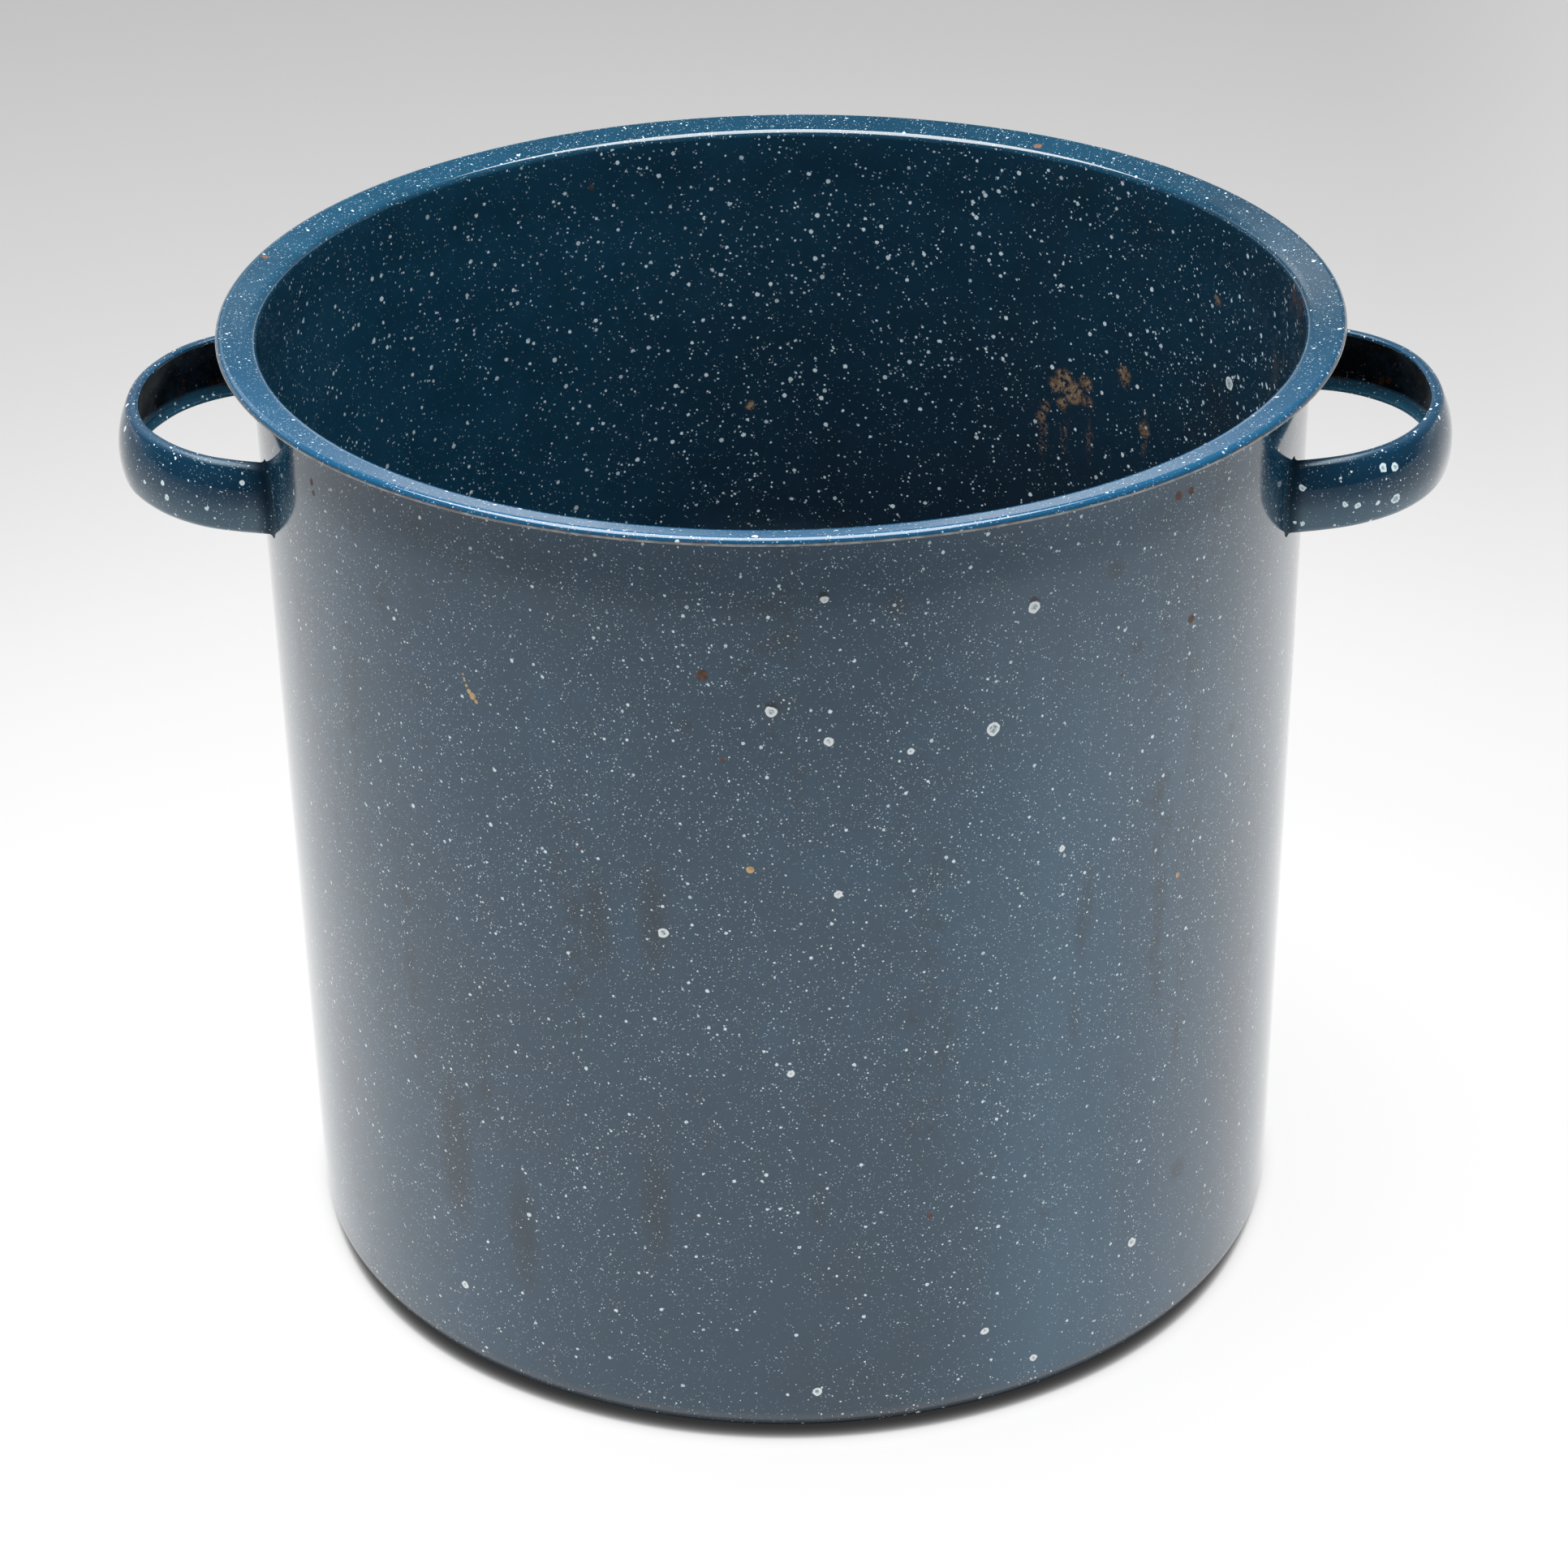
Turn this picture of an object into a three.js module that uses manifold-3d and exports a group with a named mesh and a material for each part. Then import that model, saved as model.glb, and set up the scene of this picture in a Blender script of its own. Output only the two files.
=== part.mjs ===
// Speckled enamel stock pot: one deep-drawn steel shell and two pressed strap handles.
// Units are millimetres, +Z up. The origin is the centre of the base, on the plane the pot
// stands on. The handles lie on the X axis, left_handle towards -X and right_handle towards +X.

import * as THREE from 'three';
import { mergeVertices } from 'three/addons/utils/BufferGeometryUtils.js';
import Module from 'manifold-3d';

const wasm = await Module();
wasm.setup();

// ---- driving dimensions ----------------------------------------------------------------

// shell
const BODY_R = 180;          // outside radius of the straight wall
const HEIGHT = 344;          // base to the crest of the rim
const SHEET = 1.1;           // steel sheet with its enamel coats
const BASE_CORNER_R = 6;     // outside radius between the wall and the base

// rim: the wall is drawn in a little and turns sharply out into a flange that rises gently to
// a flat crest, where a lid would rest, and ends in a turned-down edge
const RIM_R = 191.2;         // outside radius of the turned-down edge
const EDGE_R = 1.9;          // outside radius of the turned-down edge
const EDGE_DROP = 0.6;       // straight piece below that radius
const CREST = 2.0;           // width of the flat crest inside the edge radius
const FLANGE_SLOPE = 16;     // degrees the flange falls towards the pot's axis
const FLANGE_WIDTH = 5.5;    // straight part of that slope
const CREST_R = 4;           // radius between the crest and the slope
const EASE_R = 12;           // radius easing the slope into the bend
const EASE_TO = 24;          // degrees where the tight bend takes over
const ROLLOVER_R = 2.7;      // inside radius of the tight bend
const NECK_FROM = 312;       // height where the wall starts to draw in

const SHELL_SEGMENTS = 90;

// handles: a strap pressed to a shallow channel, open towards the pot
const STRAP_HEIGHT = 25;     // channel height, lip to lip
const STRAP_SHEET = 1.5;     // steel with its enamel coats
const FACE_TURN = 20;        // degrees the curved outer face turns to either side
const SHOULDER_R = 3.2;      // then a shoulder
const LIP_ROLL_R = 2;        // and the edge, rolled in
const LIP_TO = 120;          // degrees where the rolled edge ends
const FACE_LEAN = 5;         // degrees the face looks up
const STRAP_TOP_DROP = 35;   // strap's top edge at the wall, below the rim's top
const LOOP_RISE_DEG = 3.45;  // the loop climbs a little away from the wall
const WALL_GAP = 0.35;       // clearance left to the shell by the handle's ends

// Outer face of the loop seen from above, from its tip to the wall: distance from the
// pot's axis and half width.
const LOOP_OUTLINE = [
  [230.0, 0.0],
  [229.1, 12.8],
  [226.3, 24.5],
  [221.1, 36.6],
  [213.6, 46.7],
  [204.6, 54.6],
  [192.9, 60.6],
  [180.8, 63.2],
  [168.2, 64.0],
  [158.0, 64.3],             // run-out inside the wall, cut away below
];
const LOOP_STEPS = 52;

// ---- helpers ---------------------------------------------------------------------------

// Closed solid from a three.js geometry: shared vertices merged, slivers at the axis
// dropped, faces turned outwards.
function toSolid(geometry) {
  const bare = geometry.clone();
  bare.deleteAttribute('normal');
  bare.deleteAttribute('uv');
  const merged = mergeVertices(bare, 1e-4);
  const p = merged.getAttribute('position');
  const source = merged.index.array;
  const tris = [];
  let volume = 0;
  const a = new THREE.Vector3();
  const b = new THREE.Vector3();
  const c = new THREE.Vector3();
  for (let i = 0; i < source.length; i += 3) {
    const [u, v, w] = [source[i], source[i + 1], source[i + 2]];
    if (u === v || v === w || w === u) continue;
    tris.push(u, v, w);
    a.fromBufferAttribute(p, u);
    b.fromBufferAttribute(p, v);
    c.fromBufferAttribute(p, w);
    volume += a.dot(b.cross(c));
  }
  if (volume < 0) {
    for (let i = 0; i < tris.length; i += 3) {
      [tris[i + 1], tris[i + 2]] = [tris[i + 2], tris[i + 1]];
    }
  }
  return new wasm.Manifold(
    new wasm.Mesh({
      numProp: 3,
      vertProperties: new Float32Array(p.array),
      triVerts: new Uint32Array(tris),
    }),
  );
}

function toGeometry(solid) {
  const mesh = solid.getMesh();
  const count = mesh.vertProperties.length / mesh.numProp;
  const positions = new Float32Array(count * 3);
  for (let i = 0; i < count; i++) {
    for (let k = 0; k < 3; k++) {
      positions[3 * i + k] = mesh.vertProperties[i * mesh.numProp + k];
    }
  }
  const geometry = new THREE.BufferGeometry();
  geometry.setAttribute('position', new THREE.BufferAttribute(positions, 3));
  geometry.setIndex(new THREE.BufferAttribute(new Uint32Array(mesh.triVerts), 1));
  geometry.computeVertexNormals();
  return geometry;
}

// Points of a circular arc in the (radius, height) plane, angles in degrees.
function arc(cr, cz, r, from, to, steps) {
  const out = [];
  for (let i = 0; i <= steps; i++) {
    const t = THREE.MathUtils.degToRad(from + ((to - from) * i) / steps);
    out.push(new THREE.Vector2(cr + r * Math.cos(t), cz + r * Math.sin(t)));
  }
  return out;
}

// Solid of revolution about +Z from a (radius, height) profile.
function revolve(profile, segments) {
  const clean = profile.filter(
    (q, i) => i === 0 || q.distanceTo(profile[i - 1]) > 1e-3,
  );
  return new THREE.LatheGeometry(clean, segments).rotateX(Math.PI / 2);
}

// ---- shell -----------------------------------------------------------------------------

// Upper face of the rim from its lip inwards to the top of the wall: points and the face's
// outward normals. A normal tilted inwards by a degrees belongs to a surface falling
// inwards at that slope.
function rimFace() {
  const up = (deg) => {
    const a = THREE.MathUtils.degToRad(deg);
    return new THREE.Vector2(-Math.sin(a), Math.cos(a));
  };
  const face = [];
  const put = (p, n) => face.push({ p: p.clone(), n: n.clone() });
  let at = new THREE.Vector2(RIM_R, HEIGHT - EDGE_R - EDGE_DROP);
  put(at, up(-90));
  const bend = (radius, from, to, steps) => {
    const centre = at.clone().addScaledVector(up(from), -radius);
    for (let i = 1; i <= steps; i++) {
      const n = up(from + ((to - from) * i) / steps);
      put(centre.clone().addScaledVector(n, radius), n);
    }
    at = face[face.length - 1].p.clone();
  };
  const straight = (deg, length) => {
    const a = THREE.MathUtils.degToRad(deg);
    at.add(new THREE.Vector2(-Math.cos(a), -Math.sin(a)).multiplyScalar(length));
    put(at, up(deg));
  };
  at.y += EDGE_DROP;
  put(at, up(-90));
  bend(EDGE_R, -90, 0, 4);
  straight(0, CREST);
  bend(CREST_R, 0, FLANGE_SLOPE, 2);
  straight(FLANGE_SLOPE, FLANGE_WIDTH);
  bend(EASE_R, FLANGE_SLOPE, EASE_TO, 1);
  bend(ROLLOVER_R, EASE_TO, 90, 4);
  // the drawn-in top of the wall, eased into the straight wall below
  const inR = BODY_R - SHEET;
  const rise = at.y - NECK_FROM;
  const draw = inR - at.x;
  for (let i = 4; i >= 0; i--) {
    const u = i / 5;
    const eased = u * u * (3 - 2 * u);
    const slope = (6 * u * (1 - u) * draw) / rise;
    put(
      new THREE.Vector2(inR - draw * eased, NECK_FROM + rise * u),
      new THREE.Vector2(-1, -slope).normalize(),
    );
  }
  return face;
}

function shellProfile() {
  const innerCorner = BASE_CORNER_R - SHEET;
  const rim = rimFace();
  const under = rim.map(({ p, n }) => p.clone().addScaledVector(n, -SHEET));
  return [
    // underside of the base, the corner, and up the outside of the wall
    new THREE.Vector2(0, 0),
    ...arc(BODY_R - BASE_CORNER_R, BASE_CORNER_R, BASE_CORNER_R, -90, 0, 6),
    // under the bend and the flange, and down inside the turned edge
    ...under.reverse(),
    // the cut edge, then back over the top of the flange and down the neck
    ...rim.map(({ p }) => p),
    // down the inside of the wall and across the inside of the base
    ...arc(BODY_R - BASE_CORNER_R, BASE_CORNER_R, innerCorner, 0, -90, 5),
    new THREE.Vector2(0, SHEET),
  ];
}

const shell = toSolid(revolve(shellProfile(), SHELL_SEGMENTS));

// ---- handle ----------------------------------------------------------------------------

// Channel section. Its first coordinate runs down the strap, its second runs inwards from
// the outer face to the lips: a curved face, a shoulder and a rolled edge on either side,
// offset by the sheet's thickness for the channel side.
function strapSection() {
  const rad = THREE.MathUtils.degToRad;
  const half = STRAP_HEIGHT / 2;
  const turn = rad(FACE_TURN);
  const faceR = (half - SHOULDER_R + SHOULDER_R * Math.sin(turn)) / Math.sin(turn);
  const deep = faceR * (1 - Math.cos(turn)) + SHOULDER_R * Math.cos(turn);
  const side = [];
  const put = (a, h, d) =>
    side.push({
      p: new THREE.Vector2(h, d),
      n: new THREE.Vector2(Math.sin(a), -Math.cos(a)),
    });
  for (const f of [0, 0.5, 1]) {
    const a = turn * f;
    put(a, faceR * Math.sin(a), faceR * (1 - Math.cos(a)));
  }
  for (const f of [1 / 3, 2 / 3, 1]) {
    const a = turn + (Math.PI / 2 - turn) * f;
    put(a, half - SHOULDER_R + SHOULDER_R * Math.sin(a), deep - SHOULDER_R * Math.cos(a));
  }
  for (const f of [0.5, 1]) {
    const a = Math.PI / 2 + (rad(LIP_TO) - Math.PI / 2) * f;
    put(a, half - LIP_ROLL_R + LIP_ROLL_R * Math.sin(a), deep - LIP_ROLL_R * Math.cos(a));
  }
  const flip = ({ p, n }) => ({
    p: new THREE.Vector2(-p.x, p.y),
    n: new THREE.Vector2(-n.x, n.y),
  });
  const outer = [...side.slice(1).reverse().map(flip), ...side];
  const inner = outer.map(({ p, n }) => p.clone().addScaledVector(n, -STRAP_SHEET)).reverse();
  const lean = rad(FACE_LEAN);
  const ring = [...outer.map(({ p }) => p), ...inner].map(
    (q) =>
      new THREE.Vector2(
        q.x * Math.cos(lean) + (q.y - deep) * Math.sin(lean),
        q.y * Math.cos(lean) - q.x * Math.sin(lean),
      ),
  );
  return new THREE.Shape(ring);
}

function handleSolid() {
  const far = LOOP_OUTLINE.map(([x, y]) => new THREE.Vector3(x, y, 0));
  const near = LOOP_OUTLINE.slice(1).map(([x, y]) => new THREE.Vector3(x, -y, 0));
  const path = new THREE.CatmullRomCurve3([...near.reverse(), ...far], false, 'centripetal');
  const strap = new THREE.ExtrudeGeometry(strapSection(), {
    steps: LOOP_STEPS,
    bevelEnabled: false,
    extrudePath: path,
  });
  const wallX = 168.2;
  strap.translate(-wallX, 0, 0);
  strap.rotateY(-THREE.MathUtils.degToRad(LOOP_RISE_DEG));
  strap.translate(wallX, 0, HEIGHT - STRAP_TOP_DROP - STRAP_HEIGHT / 2);

  // The ends are cut to the curve of the wall.
  const wall = revolve(
    [
      new THREE.Vector2(0, 240),
      new THREE.Vector2(BODY_R + WALL_GAP, 240),
      new THREE.Vector2(BODY_R + WALL_GAP, 340),
      new THREE.Vector2(0, 340),
    ],
    180,
  );
  return toSolid(strap).subtract(toSolid(wall));
}

const handle = handleSolid();

// ---- assembly --------------------------------------------------------------------------

function enamelled(color, roughness) {
  return new THREE.MeshStandardMaterial({ color, roughness, metalness: 0.0 });
}

const group = new THREE.Group();

const potBody = new THREE.Mesh(toGeometry(shell), enamelled(0x27405c, 0.16));
potBody.name = 'pot_body';
group.add(potBody);

const rightHandle = new THREE.Mesh(toGeometry(handle), enamelled(0x1f3b5c, 0.18));
rightHandle.name = 'right_handle';
group.add(rightHandle);

const leftHandle = new THREE.Mesh(toGeometry(handle), enamelled(0x213d5d, 0.18));
leftHandle.name = 'left_handle';
leftHandle.rotation.z = Math.PI;
group.add(leftHandle);

export default group;
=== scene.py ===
"""Speckled blue enamel stock pot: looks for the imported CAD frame.

The shell and both strap handles are rebuilt here as fine meshes at the CAD model's own
dimensions, with rounded sheet edges, the enamel fillets where the straps are welded on, and a
procedural speckled enamel with its chips, rust and cooking stains.
Metres, +Z up, the origin at the centre of the base.
"""

import math

import bpy
import numpy as np
from mathutils import Matrix, Vector


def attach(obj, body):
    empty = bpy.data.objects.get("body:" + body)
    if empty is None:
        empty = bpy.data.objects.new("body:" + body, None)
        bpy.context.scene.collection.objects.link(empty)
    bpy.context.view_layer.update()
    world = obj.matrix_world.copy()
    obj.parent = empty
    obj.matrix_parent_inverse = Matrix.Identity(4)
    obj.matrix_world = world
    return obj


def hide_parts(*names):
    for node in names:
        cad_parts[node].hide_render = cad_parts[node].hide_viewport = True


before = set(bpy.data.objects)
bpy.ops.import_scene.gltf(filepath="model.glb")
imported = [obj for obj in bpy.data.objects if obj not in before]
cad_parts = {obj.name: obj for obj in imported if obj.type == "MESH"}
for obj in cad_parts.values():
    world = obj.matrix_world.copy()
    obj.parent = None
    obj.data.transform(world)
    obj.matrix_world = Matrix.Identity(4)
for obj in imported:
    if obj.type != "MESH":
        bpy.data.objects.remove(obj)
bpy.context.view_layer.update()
scene = bpy.context.scene

# ---- dimensions, in metres, as in the CAD model --------------------------------------------

BODY_R = 0.180
HEIGHT = 0.344
SHEET = 0.0011
BASE_CORNER_R = 0.006
RIM_R = 0.1912
EDGE_R = 0.0019          # turned-down edge
EDGE_DROP = 0.0006
FLANGE_SLOPE_DEG = 13.0  # the flange falls inwards
FLANGE_WIDTH = 0.0079
EASE_R = 0.012           # it eases into the bend
EASE_TO_DEG = 22.0
ROLLOVER_R = 0.0027      # tight bend into the wall
NECK_FROM = 0.312

STRAP_HEIGHT = 0.025
STRAP_SHEET = 0.0015
FACE_TURN_DEG = 20.0     # the curved outer face turns this far to either side
SHOULDER_R = 0.0032      # then a shoulder, and the rolled edge
LIP_ROLL_R = 0.0020
LIP_TO_DEG = 120.0
FACE_LEAN_DEG = 5.0      # the face looks up a little
STRAP_TOP_DROP = 0.035
LOOP_RISE = math.radians(3.45)
LOOP_ROOT_X = 0.1682
LOOP_OUTLINE = [
    (0.2300, 0.0), (0.2291, 0.0128), (0.2263, 0.0245), (0.2211, 0.0366), (0.2136, 0.0467),
    (0.2046, 0.0546), (0.1929, 0.0606), (0.1808, 0.0632), (0.1682, 0.0640), (0.1580, 0.0643),
]

SECTORS = 8
SEGMENTS = 60            # per sector

# ---- camera --------------------------------------------------------------------------------


def camera():
    data = bpy.data.cameras.new("camera")
    data.sensor_fit = "HORIZONTAL"
    data.sensor_width = 36.0
    data.lens = 83.516
    data.clip_start = 0.05
    data.clip_end = 60.0
    cam = bpy.data.objects.new("camera", data)
    scene.collection.objects.link(cam)
    turn, el, roll = math.radians(2.18), math.radians(29.293), math.radians(-1.011)
    rot = Matrix.Rotation(turn, 3, "Z")
    forward = rot @ Vector((0, math.cos(el), -math.sin(el)))
    right = rot @ Vector((1, 0, 0))
    up = rot @ Vector((0, math.sin(el), math.cos(el)))
    r2 = math.cos(roll) * right + math.sin(roll) * up
    u2 = -math.sin(roll) * right + math.cos(roll) * up
    place = Matrix((r2, u2, -forward)).transposed().to_4x4()
    place.translation = Vector((0.04245, -1.16033, 0.805605))
    cam.matrix_world = place
    scene.camera = cam
    return cam


camera()

# ---- meshes --------------------------------------------------------------------------------


def make_object(name, verts, faces, normals=None, smooth=None):
    """normals: one per loop. smooth: one flag per face."""
    mesh = bpy.data.meshes.new(name)
    mesh.from_pydata([tuple(v) for v in verts], [], [tuple(int(i) for i in f) for f in faces])
    mesh.update()
    flags = np.ones(len(mesh.polygons), bool) if smooth is None else np.asarray(smooth, bool)
    mesh.polygons.foreach_set("use_smooth", flags)
    if normals is not None:
        mesh.normals_split_custom_set([tuple(n) for n in normals])
    mesh.update()
    ob = bpy.data.objects.new(name, mesh)
    scene.collection.objects.link(ob)
    return ob


def arc(cr, cz, r, a0, a1, steps):
    t = np.radians(np.linspace(a0, a1, steps + 1))
    return np.stack([cr + r * np.cos(t), cz + r * np.sin(t)], 1)


def shell_midline():
    """Middle of the sheet from the axis, across the base, up the wall and over the rim to the
    lip, as (radius, height), and the unit normal towards the outer side. Each piece below is
    laid out on the inner and upper face of the sheet, with that face's normal."""
    h = SHEET / 2
    pts, nrm = [], []

    def add(p, n):
        pts.append((p[0], p[1]))
        nrm.append((n[0], n[1]))

    for r in (0.0, 0.006, 0.015, 0.03, 0.05, 0.07, 0.09, 0.11, 0.13, 0.145, 0.158, 0.168):
        add((r, SHEET), (0, 1))
    inner_corner = BASE_CORNER_R - SHEET
    for a in np.radians(np.linspace(-90, 0, 15)):
        add((BODY_R - BASE_CORNER_R + inner_corner * math.cos(a), BASE_CORNER_R + inner_corner * math.sin(a)),
            (-math.cos(a), -math.sin(a)))

    # the rim, from the turned-down edge inwards: crest, sloping flange, easing bend, tight bend
    def up(a):                      # normal tilted inwards by a from straight up
        return np.array([-math.sin(a), math.cos(a)])

    slope, ease = math.radians(FLANGE_SLOPE_DEG), math.radians(EASE_TO_DEG)
    crest = np.array([RIM_R - EDGE_R, HEIGHT - EDGE_R])
    rim = [((RIM_R, HEIGHT - EDGE_R - EDGE_DROP + h), (1.0, 0.0))]
    for a in np.linspace(-math.pi / 2, slope, 17):
        rim.append((crest + EDGE_R * up(a), up(a)))
    start = crest + EDGE_R * up(slope)
    along = np.array([-math.cos(slope), -math.sin(slope)])
    for d in np.linspace(0, FLANGE_WIDTH, 7)[1:]:
        rim.append((start + d * along, up(slope)))
    p = start + FLANGE_WIDTH * along
    c = p - EASE_R * up(slope)
    for a in np.linspace(slope, ease, 7)[1:]:
        rim.append((c + EASE_R * up(a), up(a)))
    p = c + EASE_R * up(ease)
    c = p - ROLLOVER_R * up(ease)
    for a in np.linspace(ease, math.pi / 2, 13)[1:]:
        rim.append((c + ROLLOVER_R * up(a), up(a)))
    neck_r, neck_z = rim[-1][0]

    # the wall, drawn in a little under the rim
    full_r = BODY_R - SHEET
    zs = np.linspace(BASE_CORNER_R, neck_z, 52)[1:-1]
    for z in zs:
        u = np.clip((z - NECK_FROM) / (neck_z - NECK_FROM), 0, 1)
        ease_in = u * u * (3 - 2 * u)
        slope_in = 6 * u * (1 - u) / (neck_z - NECK_FROM) * (neck_r - full_r)
        n = np.array([-1.0, slope_in])
        add((full_r + (neck_r - full_r) * ease_in, z), n / np.linalg.norm(n))
    for q, n in rim[::-1]:
        add(q, n)
    pts, nrm = np.array(pts), np.array(nrm)
    return pts - h * nrm, -nrm


def wobble(theta, z):
    """Slight unevenness of a drawn and fired steel wall: radial offset in metres."""
    fade = np.clip((z - 0.012) / 0.05, 0, 1) * np.clip((0.330 - z) / 0.06, 0, 1)
    out = np.zeros(np.broadcast(theta, z).shape)
    for k, a, p, q, s in (
        (2, 0.16, 0.4, 3.0, 1.1), (3, 0.10, 2.1, 5.0, 0.3), (5, 0.06, 4.4, 4.0, 2.2),
        (9, 0.030, 1.2, 9.0, 0.7), (14, 0.022, 3.3, 7.0, 1.9), (23, 0.014, 5.1, 11.0, 0.2),
        (31, 0.009, 0.9, 6.0, 2.7), (47, 0.005, 2.6, 13.0, 1.4),
    ):
        out = out + a * np.cos(k * theta + p + 0.9 * np.sin(q * z + s))
    return 0.001 * out * fade


def shell():
    """The drawn shell, as eight closed 45 degree sectors of one continuous surface."""
    path, normal = shell_midline()
    h = SHEET / 2
    outer = path + h * normal
    inner = path - h * normal
    # the rounded lip: half a turn from the outer side to the inner side
    end, t = path[-1], np.array([0.0, -1.0])
    cap = [end + h * (math.cos(a) * normal[-1] + math.sin(a) * t) for a in np.linspace(0, math.pi, 9)[1:-1]]
    cap_n = [math.cos(a) * normal[-1] + math.sin(a) * t for a in np.linspace(0, math.pi, 9)[1:-1]]
    prof = np.concatenate([outer, np.array(cap), inner[::-1]])
    prof_n = np.concatenate([normal, np.array(cap_n), -normal[::-1]])
    n_out, n_cap, n_prof = len(outer), len(cap), len(prof)

    total = SECTORS * SEGMENTS
    theta = math.radians(-22.5) + 2 * math.pi * np.arange(total + 1) / total
    T, Z = np.meshgrid(theta, prof[:, 1], indexing="ij")
    W = wobble(T, Z)
    Rg = np.where(prof[None, :, 0] > 0.17, prof[None, :, 0] + W, prof[None, :, 0])
    X, Y = Rg * np.cos(T), Rg * np.sin(T)
    P = np.stack([X, Y, Z], 2)                        # (total + 1, n_prof, 3)
    # normals: the profile's, tilted by the slope of the unevenness around the wall
    eps = 1e-3
    slope = (wobble(T + eps, Z) - wobble(T - eps, Z)) / (2 * eps)
    slope_z = (wobble(T, Z + eps) - wobble(T, Z - eps)) / (2 * eps)
    nr = np.broadcast_to(prof_n[None, :, 0], T.shape)
    nz = prof_n[None, :, 1] - nr * slope_z
    nt = np.where(prof[None, :, 0] > 0.17, -nr * slope / np.maximum(Rg, 1e-3), 0)
    N = np.stack([nr * np.cos(T) - nt * np.sin(T), nr * np.sin(T) + nt * np.cos(T), nz], 2)
    N /= np.linalg.norm(N, axis=2)[:, :, None]

    made = []
    for s in range(SECTORS):
        cols = slice(s * SEGMENTS, (s + 1) * SEGMENTS + 1)
        p, n = P[cols], N[cols]
        m = SEGMENTS + 1
        # one vertex on the axis, at each of the profile's two ends
        verts = [p[0, 0], p[0, -1]]
        vn = [np.array([0, 0, -1.0]), np.array([0, 0, 1.0])]
        ring = n_prof - 2
        verts += list(p[:, 1:-1].reshape(-1, 3))
        vn += list(n[:, 1:-1].reshape(-1, 3))
        idx = lambda i, j: 0 if j == 0 else 1 if j == n_prof - 1 else 2 + i * ring + j - 1
        faces, loops, smooth = [], [], []
        for i in range(m - 1):
            for j in range(n_prof - 1):
                f = [idx(i, j), idx(i + 1, j), idx(i + 1, j + 1), idx(i, j + 1)]
                f = [v for k, v in enumerate(f) if v not in f[:k]]
                faces.append(f)
                loops += [vn[v] for v in f]
                smooth.append(True)
        # the two cut faces, where this sector meets its neighbours
        for i, sign in ((0, 1), (m - 1, -1)):
            a = theta[s * SEGMENTS + i]
            flat = np.array([math.sin(a), -math.cos(a), 0.0]) * sign
            strips = []
            for j in range(n_out - 1):
                strips.append([idx(i, j), idx(i, j + 1), idx(i, n_prof - 2 - j), idx(i, n_prof - 1 - j)])
            strips.append([idx(i, n_out - 1 + k) for k in range(n_cap + 2)])
            for f in strips:
                if sign < 0:
                    f = f[::-1]
                faces.append(f)
                loops += [flat] * len(f)
                smooth.append(False)
        made.append(make_object("pot_body_sector_%d" % (s + 1), verts, faces, loops, smooth))
    return made


def catmull_rom(points, per_span):
    """Centripetal Catmull-Rom curve through the points, densely sampled."""
    p = np.array(points, float)
    p = np.concatenate([[2 * p[0] - p[1]], p, [2 * p[-1] - p[-2]]])
    out = []
    for i in range(1, len(p) - 2):
        p0, p1, p2, p3 = p[i - 1:i + 3]
        t0 = 0.0
        t1 = t0 + np.linalg.norm(p1 - p0) ** 0.5
        t2 = t1 + np.linalg.norm(p2 - p1) ** 0.5
        t3 = t2 + np.linalg.norm(p3 - p2) ** 0.5
        t = np.linspace(t1, t2, per_span, endpoint=False)[:, None]
        a1 = (t1 - t) / (t1 - t0) * p0 + (t - t0) / (t1 - t0) * p1
        a2 = (t2 - t) / (t2 - t1) * p1 + (t - t1) / (t2 - t1) * p2
        a3 = (t3 - t) / (t3 - t2) * p2 + (t - t2) / (t3 - t2) * p3
        b1 = (t2 - t) / (t2 - t0) * a1 + (t - t0) / (t2 - t0) * a2
        b2 = (t3 - t) / (t3 - t1) * a2 + (t - t1) / (t3 - t1) * a3
        out.append((t2 - t) / (t2 - t1) * b1 + (t - t1) / (t2 - t1) * b2)
    out.append(p[-2][None])
    return np.concatenate(out)


def smooth_closed(values, passes):
    v = values.copy()
    for _ in range(passes):
        v[1:-1] = 0.25 * v[:-2] + 0.5 * v[1:-1] + 0.25 * v[2:]
    return v


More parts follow.
